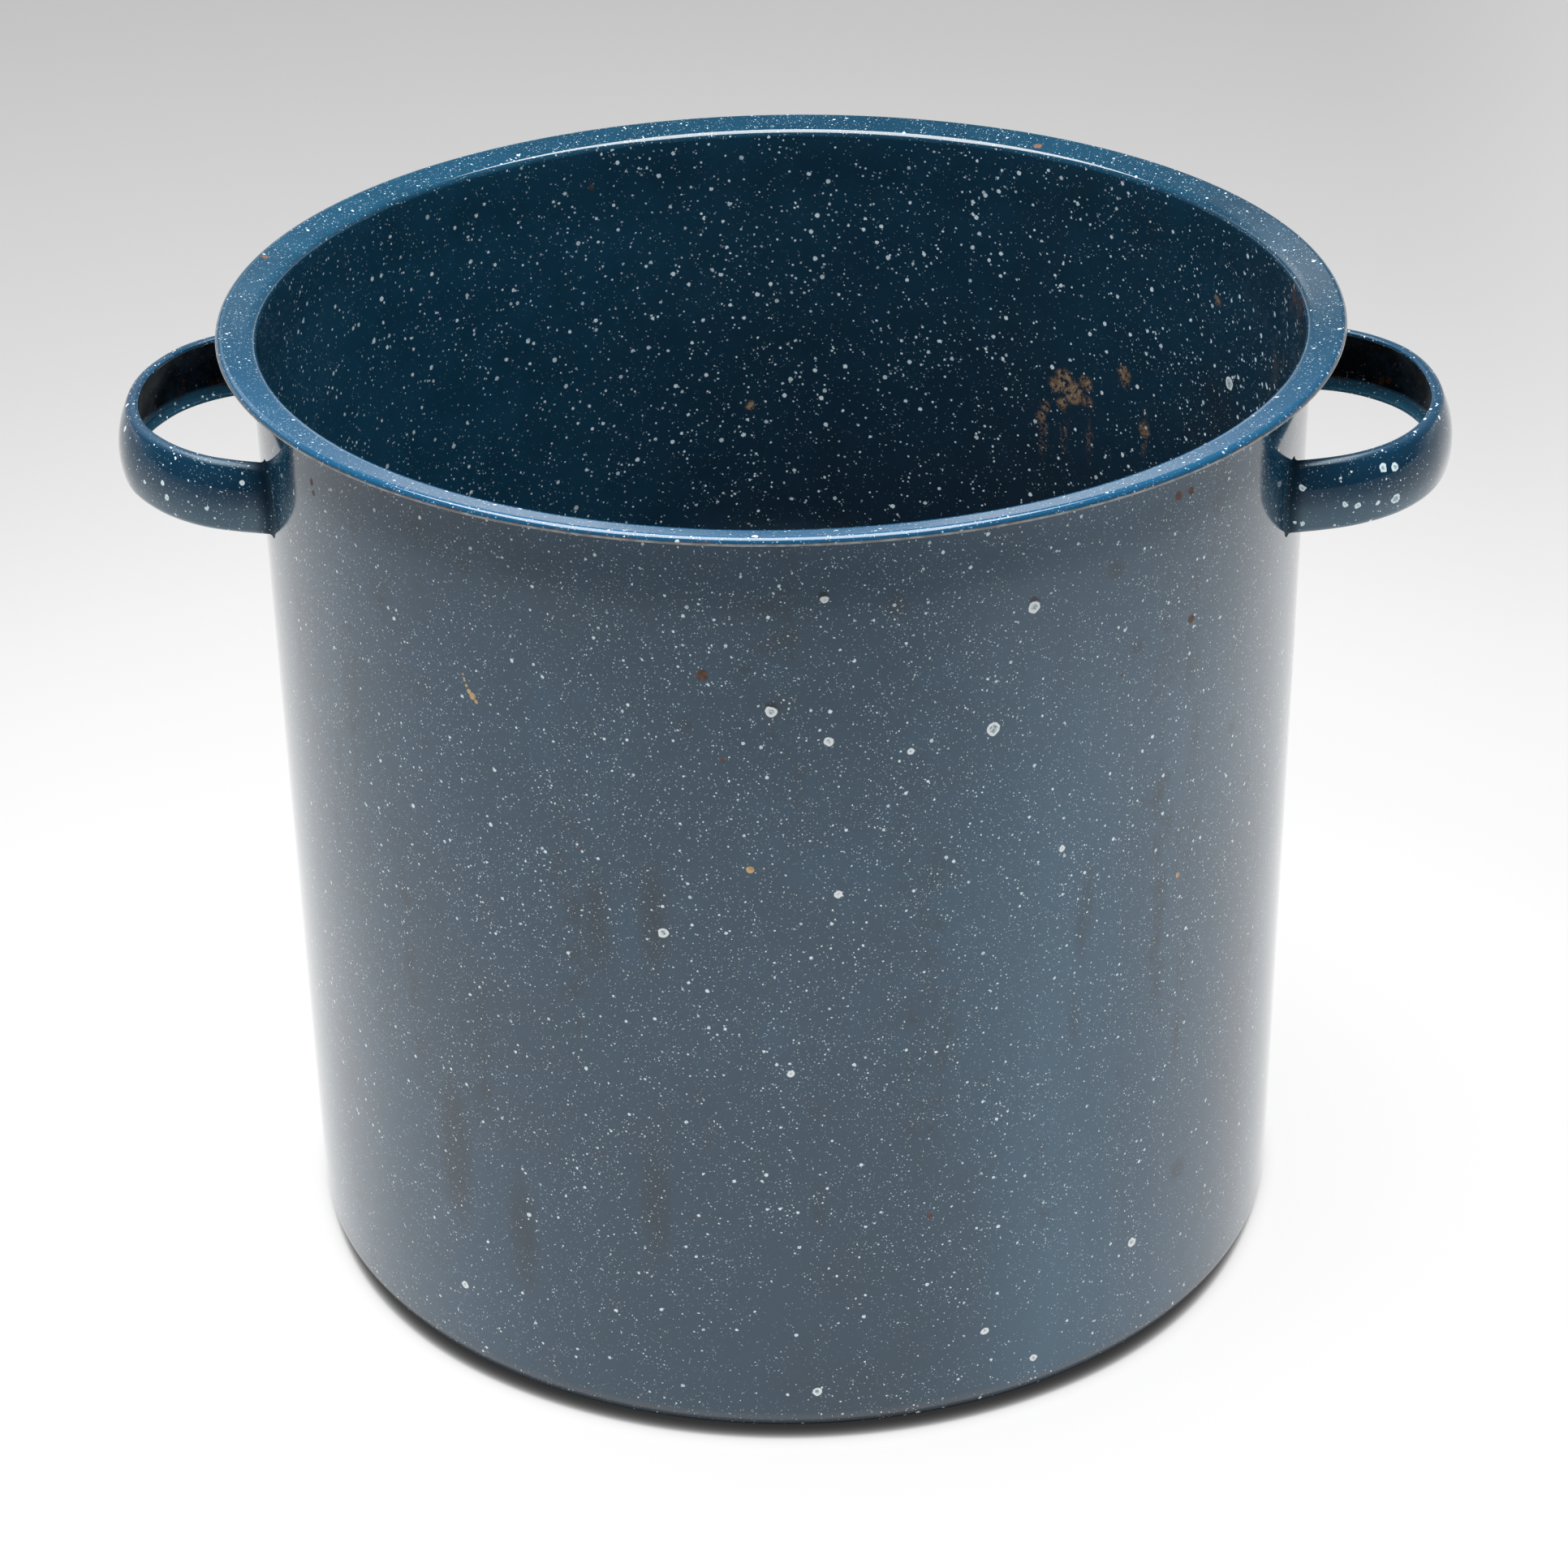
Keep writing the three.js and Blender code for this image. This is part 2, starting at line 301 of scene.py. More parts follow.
def strap_section():
    """The pressed channel's section as (down the strap, inwards) pairs with unit normals that
    point out of the metal: the outer face with both rolled edges, a rounded lip, the same
    path along the channel side, the other lip."""
    half, turn, r, roll = STRAP_HEIGHT / 2, math.radians(FACE_TURN_DEG), SHOULDER_R, LIP_ROLL_R
    face_r = (half - r + r * math.sin(turn)) / math.sin(turn)
    deep = face_r * (1 - math.cos(turn)) + r * math.cos(turn)
    pts, nrm = [], []
    for a in np.linspace(0, turn, 17):                           # face
        pts.append((face_r * math.sin(a), face_r * (1 - math.cos(a))))
        nrm.append(a)
    for a in np.linspace(turn, math.pi / 2, 8)[1:]:              # shoulder
        pts.append((half - r + r * math.sin(a), deep - r * math.cos(a)))
        nrm.append(a)
    for a in np.linspace(math.pi / 2, math.radians(LIP_TO_DEG), 13)[1:]:   # rolled edge
        pts.append((half - roll + roll * math.sin(a), deep - roll * math.cos(a)))
        nrm.append(a)
    pts, nrm = np.array(pts), np.array(nrm)
    n = np.stack([np.sin(nrm), -np.cos(nrm)], 1)
    mirror = np.array([-1, 1])
    outer = np.concatenate([(pts * mirror)[:0:-1], pts])
    outer_n = np.concatenate([(n * mirror)[:0:-1], n])
    inner = (outer - STRAP_SHEET * outer_n)[::-1]

    def cap(p, q, out):
        """Half circle from p to q, bulging towards out."""
        c, v = (p + q) / 2, (p - q) / 2
        return np.array([c + v * math.cos(a) + out * np.linalg.norm(v) * math.sin(a)
                         for a in np.linspace(0, math.pi, 9)[1:-1]])

    end = math.radians(LIP_TO_DEG)
    out = np.array([math.cos(end), math.sin(end)])
    far = cap(outer[-1], inner[0], out)
    near = cap(inner[-1], outer[0], out * mirror)
    ring = np.concatenate([outer, far, inner, near])
    lean = math.radians(FACE_LEAN_DEG)
    ring = np.stack([ring[:, 0] * math.cos(lean) + (ring[:, 1] - deep) * math.sin(lean),
                     ring[:, 1] * math.cos(lean) - ring[:, 0] * math.sin(lean)], 1)
    d = np.roll(ring, -1, 0) - np.roll(ring, 1, 0)
    n = np.stack([d[:, 1], -d[:, 0]], 1)
    n /= np.linalg.norm(n, axis=1)[:, None]
    return ring, n, len(outer), len(far), len(inner)


def handle(name, side, seed):
    """Strap loop. side is 1 for the +X handle and -1 for the one turned about Z."""
    far = [(x, y) for x, y in LOOP_OUTLINE]
    near = [(x, -y) for x, y in LOOP_OUTLINE[1:]][::-1]
    line = catmull_rom(near + far, 60)
    s = np.concatenate([[0], np.cumsum(np.linalg.norm(np.diff(line, axis=0), axis=1))])
    s -= s[-1] / 2
    # even spacing, then tangents from a lightly smoothed line
    S = np.linspace(s[0], s[-1], 1201)
    line = np.stack([np.interp(S, s, line[:, k]) for k in (0, 1)], 1)
    for k in (0, 1):
        line[:, k] = smooth_closed(line[:, k], 60)
    tang = np.gradient(line, axis=0)
    tang /= np.linalg.norm(tang, axis=1)[:, None]
    inward = np.stack([-tang[:, 1], tang[:, 0]], 1)      # towards the pot at the tip

    ring, ring_n, n_outer, n_lip, n_inner = strap_section()
    count = len(ring)
    mid_z = HEIGHT - STRAP_TOP_DROP - STRAP_HEIGHT / 2
    ca, sa = math.cos(LOOP_RISE), math.sin(LOOP_RISE)
    fillet = 0.0015
    rng = np.random.RandomState(seed)
    ph = rng.uniform(0, 6.28, 6)

    def place(Sv, j):
        """Point and surface normal on line j of the strap at arc length Sv, before the fillet."""
        c = np.stack([np.interp(Sv, S, line[:, k]) for k in (0, 1)], 1)
        w = np.stack([np.interp(Sv, S, inward[:, k]) for k in (0, 1)], 1)
        w /= np.linalg.norm(w, axis=1)[:, None]
        down, inn = ring[j]
        # hand-worked pressing: the band is not perfectly even
        wav = 0.00012 * np.sin(70 * Sv + ph[0]) + 0.00008 * np.sin(150 * Sv + ph[1])
        grow = 1 + 0.006 * np.sin(55 * Sv + ph[2])
        x = c[:, 0] + w[:, 0] * (inn + wav)
        y = c[:, 1] + w[:, 1] * (inn + wav)
        z = -down * grow
        nx, ny, nz = w[:, 0] * ring_n[j][1], w[:, 1] * ring_n[j][1], np.full(len(Sv), -ring_n[j][0])
        dx = x - LOOP_ROOT_X
        p = np.stack([LOOP_ROOT_X + ca * dx - sa * z, y, mid_z + sa * dx + ca * z], 1)
        n = np.stack([ca * nx - sa * nz, ny, sa * nx + ca * nz], 1)
        return p, n

    # fractions along the strap, crowded near the wall
    body = np.linspace(0, 0.93, 66)
    tail = 1 - (1 - 0.93) * (1 - np.linspace(0, 1, 27)[1:]) ** 1.6
    frac = np.concatenate([body, tail])
    frac = np.concatenate([-frac[::-1][:-1], frac])
    cols = []
    for j in range(count):
        # where this line of the strap meets the wall, just inside its surface
        lo, hi = 0.05, S[-1]
        for _ in range(40):
            mid = (lo + hi) / 2
            p, _n = place(np.array([mid]), j)
            if math.hypot(p[0, 0], p[0, 1]) > BODY_R - 0.0004:
                lo = mid
            else:
                hi = mid
        # the two ends mirror each other apart from the slight unevenness
        Sv = frac * lo
        p, n = place(Sv, j)
        clear = np.hypot(p[:, 0], p[:, 1]) - BODY_R
        size = fillet * (1.0 if j < n_outer else 0.8)
        gap = np.clip(size - np.clip(clear, 0, size), 0, size)
        flare = size - np.sqrt(np.maximum(size ** 2 - gap ** 2, 0))
        # the flare runs along the wall: no part of it goes into or away from the wall
        r = np.stack([p[:, 0], p[:, 1], np.zeros(len(p))], 1)
        r /= np.linalg.norm(r, axis=1)[:, None]
        along = n - (n * r).sum(1)[:, None] * r
        along /= np.maximum(np.linalg.norm(along, axis=1), 1e-6)[:, None]
        p = p + along * flare[:, None]
        cols.append(p)
    P = np.stack(cols, 1)                                # (steps, count, 3)
    steps = len(frac)
    verts = P.reshape(-1, 3)
    if side < 0:
        verts = verts * np.array([-1, -1, 1])
    idx = lambda i, j: i * count + j % count
    faces = [[idx(i, j), idx(i, j + 1), idx(i + 1, j + 1), idx(i + 1, j)]
             for i in range(steps - 1) for j in range(count)]
    # the two hidden ends, closed inside the wall's sheet
    for i, flip in ((0, True), (steps - 1, False)):
        o = list(range(n_outer))
        inn = list(range(n_outer + n_lip, n_outer + n_lip + n_inner))[::-1]
        caps = []
        # walk both faces together
        a, b = 0, 0
        while a < len(o) - 1 or b < len(inn) - 1:
            if b >= len(inn) - 1 or (a < len(o) - 1 and a / (len(o) - 1) <= b / (len(inn) - 1)):
                caps.append([idx(i, o[a]), idx(i, o[a + 1]), idx(i, inn[b])])
                a += 1
            else:
                caps.append([idx(i, o[a]), idx(i, inn[b + 1]), idx(i, inn[b])])
                b += 1
        caps.append([idx(i, k) for k in range(n_outer - 1, n_outer + n_lip + 1)])
        caps.append([idx(i, k) for k in list(range(n_outer + n_lip + n_inner - 1, count)) + [0]])
        faces += [f[::-1] if flip else f for f in caps]
    ob = make_object(name, verts, faces)
    # how far each line of the strap is on the channel side and turned away from the sky, where the enamel paints shade
    share = np.zeros(count)
    for j in range(n_outer + n_lip, n_outer + n_lip + n_inner):
        down = ring[j][0]
        share[j] = np.clip((0.0105 - down) / 0.005, 0, 1) * np.clip((down + 0.0125) / 0.003, 0, 1)
    hollow = ob.data.attributes.new("hollow", "FLOAT", "POINT")
    hollow.data.foreach_set("value", np.tile(share, steps).astype(np.float32))
    # and how far it is turned towards the strap's edges, where hands have dulled the gloss
    turned = np.clip((np.abs(ring_n[:, 0]) - 0.42) / 0.25, 0, 1)
    turned[n_outer + n_lip:n_outer + n_lip + n_inner] = 0
    dulled = ob.data.attributes.new("dulled", "FLOAT", "POINT")
    dulled.data.foreach_set("value", np.tile(turned, steps).astype(np.float32))
    # face directions checked by volume
    v = np.array(verts)
    vol = 0.0
    for f in faces:
        for k in range(1, len(f) - 1):
            vol += np.dot(v[f[0]], np.cross(v[f[k]], v[f[k + 1]]))
    if vol < 0:
        ob.data.flip_normals()
    return ob


# ---- materials -----------------------------------------------------------------------------


class Tree:
    """Small helper for building a node tree."""

    def __init__(self, name):
        self.mat = bpy.data.materials.new(name)
        self.mat.use_nodes = True
        self.nodes = self.mat.node_tree.nodes
        self.links = self.mat.node_tree.links
        self.nodes.clear()

    def node(self, kind, **props):
        n = self.nodes.new(kind)
        for k, v in props.items():
            setattr(n, k, v)
        return n

    def put(self, socket, value):
        if isinstance(value, bpy.types.NodeSocket):
            self.links.new(value, socket)
        elif value is not None:
            socket.default_value = value

    def math(self, op, a, b=None, c=None, clamp=False):
        n = self.node("ShaderNodeMath", operation=op, use_clamp=clamp)
        for s, v in zip(n.inputs, (a, b, c)):
            self.put(s, v)
        return n.outputs[0]

    def vec(self, op, a, b=None, scale=None):
        n = self.node("ShaderNodeVectorMath", operation=op)
        self.put(n.inputs[0], a)
        if b is not None:
            self.put(n.inputs[1], b)
        if scale is not None:
            self.put(n.inputs["Scale"], scale)
        return n.outputs["Value"] if op in ("DISTANCE", "LENGTH", "DOT_PRODUCT") else n.outputs[0]

    def noise(self, vector, scale, detail=2.0, rough=0.5, out="Fac"):
        n = self.node("ShaderNodeTexNoise")
        self.put(n.inputs["Vector"], vector)
        n.inputs["Scale"].default_value = scale
        n.inputs["Detail"].default_value = detail
        n.inputs["Roughness"].default_value = rough
        return n.outputs[out]

    def voronoi(self, vector, scale):
        n = self.node("ShaderNodeTexVoronoi", feature="F1")
        self.put(n.inputs["Vector"], vector)
        n.inputs["Scale"].default_value = scale
        return n.outputs["Distance"], n.outputs["Color"]

    def ramp(self, x, lo, hi, a=0.0, b=1.0, smooth=True):
        n = self.node("ShaderNodeMapRange", interpolation_type="SMOOTHSTEP" if smooth else "LINEAR")
        self.put(n.inputs["Value"], x)
        self.put(n.inputs["From Min"], lo)
        self.put(n.inputs["From Max"], hi)
        self.put(n.inputs["To Min"], a)
        self.put(n.inputs["To Max"], b)
        return n.outputs["Result"]

    def mix(self, fac, a, b):
        n = self.node("ShaderNodeMix", data_type="RGBA")
        self.put(n.inputs[0], fac)
        for s, v in ((n.inputs[6], a), (n.inputs[7], b)):
            self.put(s, v if isinstance(v, bpy.types.NodeSocket) else (*v, 1.0))
        return n.outputs[2]

    def split(self, color):
        n = self.node("ShaderNodeSeparateColor")
        self.put(n.inputs[0], color)
        return n.outputs

    def xyz(self, v):
        n = self.node("ShaderNodeSeparateXYZ")
        self.put(n.inputs[0], v)
        return n.outputs

    def spots(self, pos, places):
        """Union of round spots: places are (x, y, z, radius). Positive inside, in metres."""
        best = None
        for x, y, z, r in places:
            d = self.vec("DISTANCE", pos, (x, y, z))
            inside = self.math("SUBTRACT", r, d)
            best = inside if best is None else self.math("MAXIMUM", best, inside)
        return best


# single marks on the shell, at their places on the surface, as (x, y, z, radius)
CHIPS = [
    (0.0820, -0.1603, 0.3064, 0.0021), (0.0015, -0.1800, 0.2806, 0.0019),
    (0.0191, -0.1790, 0.2696, 0.0016), (0.0699, -0.1659, 0.2670, 0.0023),
    (-0.0343, -0.1767, 0.1989, 0.0019), (0.1213, -0.1330, 0.0465, 0.0019),
    (-0.1109, -0.1418, 0.0330, 0.0016), (0.0699, -0.1659, 0.0329, 0.0015),
    (0.0871, -0.1575, 0.0149, 0.0015), (0.0128, -0.1795, 0.0170, 0.0018),
    (0.0443, -0.1745, 0.2637, 0.0013), (0.0216, -0.1787, 0.2147, 0.0013),
    (0.0926, -0.1544, 0.2174, 0.0013), (0.0058, -0.1799, 0.1476, 0.0013),
    (0.0183, -0.1791, 0.3182, 0.0013), (0.1612, 0.0775, 0.2792, 0.0026),
    (-0.0019, -0.1883, 0.3437, 0.0012),
]
PITS = [
    (0.0819, -0.1603, 0.3081, 0.0018), (0.0017, -0.1800, 0.2822, 0.0017), (0.0180, -0.1791, 0.3196, 0.0014),
]
RUST = [
    (-0.0193, -0.1790, 0.2926, 0.0019), (0.1334, -0.1208, 0.2826, 0.0017),
    (0.1283, -0.1263, 0.3278, 0.0018), (0.1323, -0.1220, 0.3277, 0.0016), (0.0508, -0.1727, 0.0861, 0.0011),
    (0.0762, -0.1880, 0.3420, 0.0016), (-0.1478, -0.1028, 0.3225, 0.0013), (-0.1472, -0.1036, 0.3190, 0.0010),
    (-0.1833, 0.0415, 0.3430, 0.0016), (0.0923, 0.1570, 0.3420, 0.0016), (-0.0777, 0.1611, 0.3255, 0.0012),
    (-0.0138, -0.1795, 0.2632, 0.0008), (-0.0601, -0.1697, 0.2258, 0.0006), (0.1107, -0.1420, 0.2736, 0.0006),
]
TAN = [
    (-0.0962, -0.1521, 0.2789, 0.0005), (-0.0958, -0.1524, 0.2768, 0.0005), (-0.0953, -0.1527, 0.2752, 0.0006),
    (-0.0945, -0.1532, 0.2734, 0.0009), (-0.0934, -0.1539, 0.2719, 0.0013), (-0.0922, -0.1546, 0.2704, 0.0008),
    (-0.0060, -0.1799, 0.2242, 0.0013), (0.1325, -0.1218, 0.1882, 0.0011),
]
GRIME = [
    (0.0402, -0.1754, 0.3148, 0.0040), (0.1077, -0.1442, 0.3116, 0.0036), (0.1158, -0.1378, 0.2812, 0.0030),
    (0.1502, -0.0991, 0.2318, 0.0028), (0.1573, -0.0875, 0.2038, 0.0032), (-0.0245, -0.1783, 0.2751, 0.0030),
    (-0.0938, -0.1536, 0.3166, 0.0030), (0.1374, -0.1163, 0.0657, 0.0050), (-0.0288, -0.1777, 0.0886, 0.0030),
]
# larger flakes on the two handles
FLAKES = [
    (0.2004, -0.0553, 0.3053, 0.0015), (0.2055, -0.0541, 0.2936, 0.0019), (0.1921, -0.0608, 0.2941, 0.0011),
    (0.1877, -0.0620, 0.2952, 0.0010), (0.1732, -0.0631, 0.3017, 0.0012), (0.1740, -0.0633, 0.2889, 0.0009),
    (0.1992, -0.0578, 0.2937, 0.0009), (0.2045, -0.0531, 0.3047, 0.0014), (-0.1777, -0.0622, 0.3038, 0.0009),
    (-0.2055, -0.0540, 0.2947, 0.0011), (-0.1907, -0.0614, 0.2939, 0.0008), (-0.2067, -0.0527, 0.2995, 0.0008),
    (-0.2234, -0.0266, 0.3078, 0.0011), (-0.2142, -0.0461, 0.2968, 0.0008), (-0.2247, -0.0148, 0.3113, 0.0008),
]
# long vertical runs, with the height squeezed to a quarter
RUNS = [
    (0.1367, -0.1171, 0.2385 / 4, 0.0024), (0.1335, -0.1207, 0.2672 / 4, 0.0026), (0.0998, -0.1498, 0.1842 / 4, 0.0028),
    (0.1016, -0.1486, 0.1960 / 4, 0.0024), (0.0980, -0.1510, 0.1500 / 4, 0.0022), (-0.1491, -0.1009, 0.1968 / 4, 0.0020),
    (-0.1458, -0.1055, 0.2244 / 4, 0.0020), (-0.0374, -0.1761, 0.2040 / 4, 0.0052), (-0.1108, -0.1418, 0.0900 / 4, 0.0080),
    (-0.0873, -0.1574, 0.0680 / 4, 0.0066), (-0.0400, -0.1755, 0.0900 / 4, 0.0070), (0.0140, -0.1795, 0.0920 / 4, 0.0040),
    (-0.0560, -0.1711, 0.2000 / 4, 0.0050),
]


def enamel(name, seed, shell_marks=True):
    t = Tree(name)
    coord = t.node("ShaderNodeTexCoord").outputs["Object"]
    # the pattern's own space is turned, so that no lattice runs along the wall
    turned = t.node("ShaderNodeVectorRotate", rotation_type="EULER_XYZ")
    t.put(turned.inputs["Vector"], coord)
    turned.inputs["Rotation"].default_value = (0.62, 0.41 + 0.2 * seed, 0.77)
    pos = t.vec("ADD", turned.outputs[0], (0.313 + 0.013 * seed, 0.229 + 0.029 * seed, 0.417 - 0.017 * seed))

    x, y, z = t.xyz(coord)
    radius = t.vec("LENGTH", t.vec("MULTIPLY", coord, (1.0, 1.0, 0.0)))
    if shell_marks:
        flange = t.math("GREATER_THAN", z, HEIGHT - 0.0046)
        # the middle of the sheet, which the neck under the rim draws in a little
        middle = t.ramp(z, NECK_FROM, 0.3391, BODY_R - 0.5 * SHEET, BODY_R - 0.5 * SHEET - 0.00121)
        inside = t.math("MULTIPLY", t.math("LESS_THAN", radius, middle),
                        t.math("GREATER_THAN", z, 0.0005))
        inside = t.math("MULTIPLY", inside, t.math("SUBTRACT", 1.0, flange))
        outside = t.math("SUBTRACT", 1.0, t.math("MAXIMUM", inside, flange))
        around = t.math("ARCTAN2", x, t.math("MULTIPLY", y, -1.0))     # 0 at the front, + to the right

    # ---- speckles: white glass grains of four sizes, with uneven crowding
    warp = t.noise(pos, 1500.0, 2.0, 0.6, out="Color")
    warp = t.vec("SCALE", t.vec("SUBTRACT", warp, (0.5, 0.5, 0.5)), scale=0.0008)
    grain_pos = t.vec("ADD", pos, warp)
    crowd = t.math("SUBTRACT", t.noise(pos, 24.0, 3.0, 0.55), 0.5)
    crowd_fine = t.math("SUBTRACT", t.noise(pos, 150.0, 2.0), 0.5)
    crowd_all = t.math("ADD", t.math("MULTIPLY", crowd, 1.6), t.math("MULTIPLY", crowd_fine, 2.2))
    if shell_marks:
        # thinner towards the foot of the wall
        crowd_all = t.math("SUBTRACT", crowd_all, t.ramp(z, 0.17, 0.02, 0.0, 0.32))

    def layer(scale, r_lo, r_hi, keep, soft, dim, bright, keep_in=1.0, grow_in=0.0):
        """Radii in metres, keep is the share of cells that hold a grain, dim and bright its
        range of strength; inside the pot the share is scaled by keep_in and the grains grow
        by grow_in."""
        dist, color = t.voronoi(grain_pos, scale)
        rnd = t.split(color)
        size = t.ramp(rnd[1], 0.0, 1.0, r_lo * scale, r_hi * scale, smooth=False)
        if shell_marks and grow_in:
            size = t.math("MULTIPLY", size, t.math("ADD", t.math("MULTIPLY", inside, grow_in), 1.0))
        shape = t.ramp(dist, t.math("MULTIPLY", size, 1.0 - soft), size, 1.0, 0.0)
        share = t.math("ADD", t.math("MULTIPLY", crowd_all, keep), keep, clamp=True)
        if shell_marks and keep_in != 1.0:
            share = t.math("MULTIPLY", share, t.math("ADD", t.math("MULTIPLY", inside, keep_in - 1.0), 1.0))
        on = t.math("LESS_THAN", rnd[0], share)
        strength = t.ramp(t.math("POWER", rnd[2], 1.4), 0.0, 1.0, dim, bright, smooth=False)
        return t.math("MULTIPLY", shape, t.math("MULTIPLY", on, strength))

    if shell_marks:
        layers = [layer(1250.0, 0.00010, 0.00027, 0.72, 0.50, 0.18, 1.00, keep_in=0.26),
                  layer(700.0, 0.00016, 0.00043, 0.45, 0.42, 0.40, 1.50, keep_in=0.45, grow_in=0.45),
                  layer(330.0, 0.00030, 0.00080, 0.21, 0.30, 0.70, 1.50, keep_in=0.80, grow_in=0.45),
                  layer(95.0, 0.0005, 0.0010, 0.08, 0.20, 0.90, 1.40, keep_in=1.0)]
    else:
        layers = [layer(1250.0, 0.00010, 0.00027, 0.44, 0.50, 0.15, 0.90),
                  layer(700.0, 0.00016, 0.00043, 0.28, 0.40, 0.45, 1.50),
                  layer(330.0, 0.00035, 0.00085, 0.15, 0.25, 0.80, 1.60),
                  layer(110.0, 0.0008, 0.0015, 0.13, 0.15, 0.70, 1.40)]
    speck = layers[0]
    for more in layers[1:]:
        speck = t.math("MAXIMUM", speck, more)
    if shell_marks:
        speck = t.math("MULTIPLY", speck, t.math("SUBTRACT", 1.0, t.math("MULTIPLY", flange, 0.34)))
    speck = t.math("MINIMUM", speck, 1.0)

    # ---- blue glass, a little uneven in depth
    cloud = t.noise(pos, 9.0, 4.0, 0.6)
    fine_cloud = t.noise(pos, 70.0, 3.0, 0.6)
    depth = t.math("ADD", t.math("MULTIPLY", cloud, 0.6), t.math("MULTIPLY", fine_cloud, 0.4))
    if shell_marks:
        blue = t.mix(t.ramp(depth, 0.35, 0.65), (0.0065, 0.048, 0.092), (0.0095, 0.066, 0.124))
    else:
        blue = t.mix(t.ramp(depth, 0.35, 0.65), (0.0040, 0.031, 0.066), (0.0058, 0.043, 0.088))
    rough = t.ramp(t.noise(pos, 45.0, 3.0), 0.3, 0.7, 0.055, 0.095)
    relief = t.math("MULTIPLY", t.noise(pos, 210.0, 2.0), 0.22)
    relief = t.math("ADD", relief, t.math("MULTIPLY", speck, 0.12))

    if not shell_marks:
        # painted shade darkens the channel side, with rust at its lips
        hollow = t.node("ShaderNodeAttribute", attribute_name="hollow").outputs["Fac"]
        dulled = t.node("ShaderNodeAttribute", attribute_name="dulled").outputs["Fac"]
        shade_mask = t.ramp(t.noise(pos, 60.0, 4.0, 0.65), 0.35, 0.62, 0.80, 1.0)
        shade_mask = t.math("MULTIPLY", t.ramp(hollow, 0.25, 0.65), shade_mask)
        patch = t.math("MULTIPLY", t.ramp(t.noise(pos, 95.0, 4.0, 0.7), 0.56, 0.66), t.ramp(hollow, 0.05, 0.45))
        # painted reflection of the bright floor: the lower half of the face is paler
        floor_reflection = t.ramp(z, 0.2990, 0.2890)
        blue = t.mix(t.math("MULTIPLY", floor_reflection, 0.72), blue, (0.024, 0.096, 0.155))
        # painted shade on the channel side
        blue = t.mix(shade_mask, blue, (0.0010, 0.0011, 0.0014))
        blue = t.mix(t.math("MULTIPLY", patch, 0.75), blue, (0.045, 0.018, 0.009))
        # rust eating into the channel at the left tip
        eaten = t.spots(t.vec("ADD", coord, t.vec("SCALE", warp, scale=1.5)), [
            (-0.2208, 0.0150, 0.2985, 0.0016), (-0.2195, 0.0172, 0.2960, 0.0011), (-0.2215, 0.0120, 0.2955, 0.0012),
        ])
        eaten = t.math("MULTIPLY", t.ramp(eaten, -0.0012, 0.0006), t.ramp(t.noise(coord, 500.0, 3.0, 0.7), 0.40, 0.55))
        blue = t.mix(t.math("MULTIPLY", eaten, hollow), blue, (0.30, 0.14, 0.06))
        # painted shade in the crease around the welds: darker glass, which is also made duller
        weld = t.ramp(radius, BODY_R + 0.0065, BODY_R + 0.0012)
        blue = t.mix(t.math("MULTIPLY", weld, 0.60), blue, (0.0022, 0.009, 0.016))
        shade_mask = t.math("MAXIMUM", shade_mask, t.math("MULTIPLY", weld, 0.9))
        # fewer speckles show in the painted shade of the channel side
        speck = t.math("MULTIPLY", speck, t.math("SUBTRACT", 1.0, t.math("MULTIPLY", hollow, 0.85)))
        rough = t.math("ADD", rough, t.math("MULTIPLY", shade_mask, 0.35))
        rough = t.math("ADD", rough, t.math("MULTIPLY", dulled, t.ramp(t.noise(pos, 30.0, 3.0), 0.35, 0.65, 0.20, 0.34)))

    if shell_marks:
        rag = t.vec("SUBTRACT", t.noise(coord, 420.0, 3.0, out="Color"), (0.5, 0.5, 0.5))
        rag2 = t.vec("ADD", coord, t.vec("SCALE", rag, scale=0.0014))
        ragged = t.vec("ADD", coord, t.vec("SCALE", rag, scale=0.0034))
        crumble = t.noise(coord, 520.0, 4.0, 0.75)

        # a paler band right of the front, strongest low down
        band = t.math("MULTIPLY", t.ramp(around, 0.16, 0.58), t.ramp(around, 1.12, 0.62))
        band = t.math("MULTIPLY", t.math("MULTIPLY", band, outside), t.ramp(z, 0.33, 0.22, 0.35, 1.0))
        band_pos = t.vec("MULTIPLY", coord, (1.0, 1.0, 0.15))
        band = t.math("MULTIPLY", band, t.ramp(t.noise(band_pos, 40.0, 3.0), 0.3, 0.7, 0.75, 1.15))
        blue = t.mix(t.math("MULTIPLY", band, 0.78), blue, (0.037, 0.116, 0.192))

        # grey smudges and runs on the outside, drawn down the wall
        run_pos = t.vec("MULTIPLY", coord, (1.0, 1.0, 0.16))
        smudge = t.math("ADD", t.math("MULTIPLY", t.noise(run_pos, 34.0, 4.0, 0.65), 0.65),
                        t.math("MULTIPLY", t.noise(coord, 120.0, 3.0, 0.7), 0.35))
        smudge = t.math("MULTIPLY", t.ramp(smudge, 0.55, 0.70), 0.55)
        soft = t.math("MULTIPLY", t.noise(coord, 260.0, 3.0, 0.7), 0.004)
        grime = t.ramp(t.math("SUBTRACT", t.spots(rag2, GRIME), soft), -0.0035, 0.0012)
        squeezed = t.vec("MULTIPLY", rag2, (1.0, 1.0, 0.25))
        runs = t.ramp(t.math("SUBTRACT", t.spots(squeezed, RUNS), soft), -0.0045, 0.0025)
        greying = t.math("MAXIMUM", smudge, t.math("MAXIMUM", t.math("MULTIPLY", grime, 0.50),
                                                t.math("MULTIPLY", runs, 0.50)))
